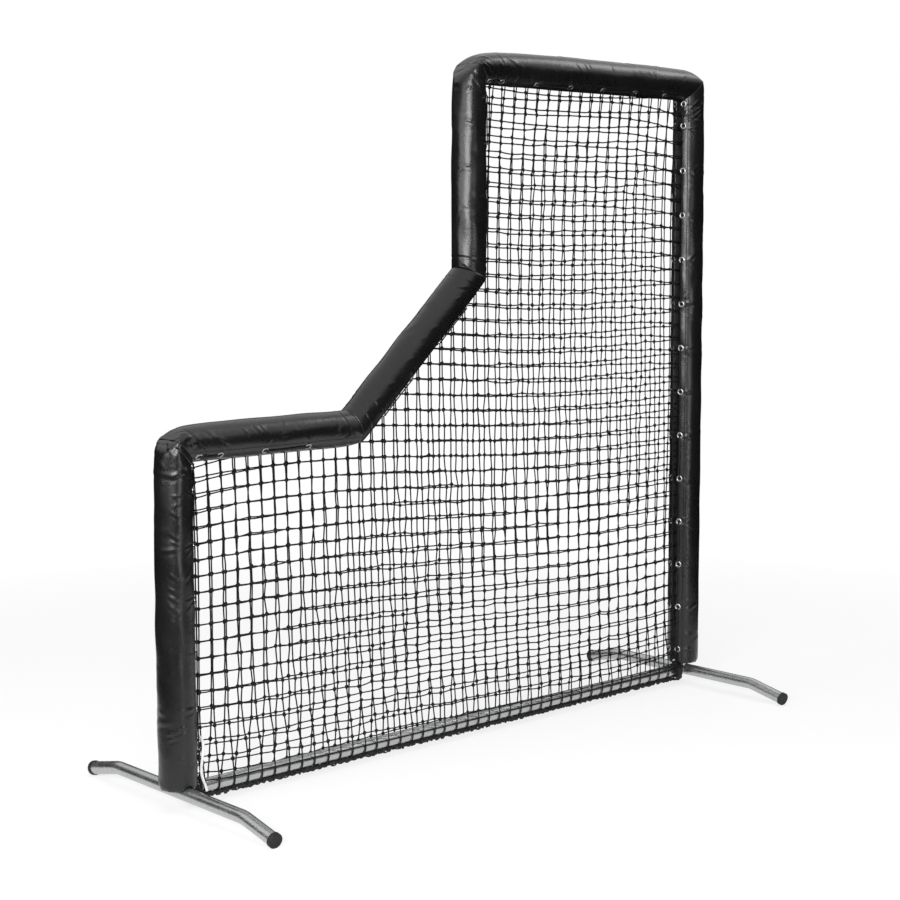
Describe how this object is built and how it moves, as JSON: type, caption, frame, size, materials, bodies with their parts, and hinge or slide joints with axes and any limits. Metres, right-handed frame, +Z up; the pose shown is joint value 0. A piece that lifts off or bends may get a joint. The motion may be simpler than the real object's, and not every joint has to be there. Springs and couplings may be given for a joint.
{
  "type": "padded l-screen",
  "caption": "Stand-up L-shaped pitching screen: round steel tube frame in laced black padded sleeves, two-layer knotted net, bottom rail and two bent feet with rubber caps.",
  "frame": {"origin": "on the floor, midway between the two uprights and midway between the front and back caps", "axes": "+X along the screen from the low side to the high side, +Y from the pitcher's front to the back, +Z up"},
  "size_m": [2.2276, 0.901, 2.1338],
  "materials": {
    "galvanised_steel": "galvanised, faint drawn streaks",
    "zinc_screw": "zinc plated",
    "spring_steel": "plain spring steel",
    "black_rubber": "matt moulded rubber",
    "foam": "closed-cell foam",
    "vinyl": "smooth coated cloth, semi-matt",
    "nickel": "nickel plated",
    "lace": "braided cord",
    "net_twine": "twisted knotted twine",
    "white_cord": "braided cord"
  },
  "bodies": {
    "screen": {"foot_left": "galvanised_steel", "foot_right": "galvanised_steel", "foot_caps_left": "black_rubber", "foot_caps_right": "black_rubber", "bottom_rail": "galvanised_steel", "upright_tube_left": "galvanised_steel", "lower_bar_tube": "galvanised_steel", "diagonal_tube": "galvanised_steel", "neck_tube": "galvanised_steel", "top_bar_tube": "galvanised_steel", "upright_tube_right": "galvanised_steel", "elbow_left": "galvanised_steel", "elbow_lower": "galvanised_steel", "elbow_neck": "galvanised_steel", "elbow_top_left": "galvanised_steel", "elbow_top_right": "galvanised_steel", "frame_screws": "zinc_screw", "foam_upright_left": "foam", "foam_lower_bar": "foam", "foam_diagonal": "foam", "foam_neck": "foam", "foam_top_bar": "foam", "foam_upright_right": "foam", "cover_upright_left": "vinyl", "cover_lower_bar": "vinyl", "cover_diagonal": "vinyl", "cover_neck": "vinyl", "cover_top_bar": "vinyl", "cover_upright_right": "vinyl", "eyelets_upright_left": "nickel", "eyelets_lower_bar": "nickel", "eyelets_diagonal": "nickel", "eyelets_neck": "nickel", "eyelets_top_bar": "nickel", "eyelets_upright_right": "nickel", "lace_upright_left": "lace", "lace_lower_bar": "lace", "lace_diagonal": "lace", "lace_neck": "lace", "lace_top_bar": "lace", "lace_upright_right": "lace", "net_front_lower": "net_twine", "net_front_upper": "net_twine", "net_front_corner": "net_twine", "net_back_lower": "net_twine", "net_back_upper": "net_twine", "net_back_corner": "net_twine", "hem_rope": "net_twine", "lashing_left": "net_twine", "lashing_right": "net_twine", "white_tie": "white_cord", "button_spring_upright_left": "spring_steel", "button_spring_upright_right": "spring_steel", "button_spring_rail_left": "spring_steel", "button_spring_rail_right": "spring_steel"},
    "snap_button_upright_left": {"button_upright_left": "zinc_screw"},
    "snap_button_upright_right": {"button_upright_right": "zinc_screw"},
    "snap_button_rail_left": {"button_rail_left": "zinc_screw"},
    "snap_button_rail_right": {"button_rail_right": "zinc_screw"}
  },
  "joints": [
    {"name": "press_upright_left", "type": "slide", "parent": "screen", "child": "snap_button_upright_left", "axis": [-1, 0, 0], "range_m": [0, 0.007], "stiffness_N_per_m": 1200, "springref_m": -0.003, "deforming": ["button_spring_upright_left"]},
    {"name": "press_upright_right", "type": "slide", "parent": "screen", "child": "snap_button_upright_right", "axis": [1, 0, 0], "range_m": [0, 0.007], "stiffness_N_per_m": 1200, "springref_m": -0.003, "deforming": ["button_spring_upright_right"]},
    {"name": "press_rail_left", "type": "slide", "parent": "screen", "child": "snap_button_rail_left", "axis": [0, 0, -1], "range_m": [0, 0.007], "stiffness_N_per_m": 1200, "springref_m": -0.003, "deforming": ["button_spring_rail_left"]},
    {"name": "press_rail_right", "type": "slide", "parent": "screen", "child": "snap_button_rail_right", "axis": [0, 0, -1], "range_m": [0, 0.007], "stiffness_N_per_m": 1200, "springref_m": -0.003, "deforming": ["button_spring_rail_right"]}
  ]
}
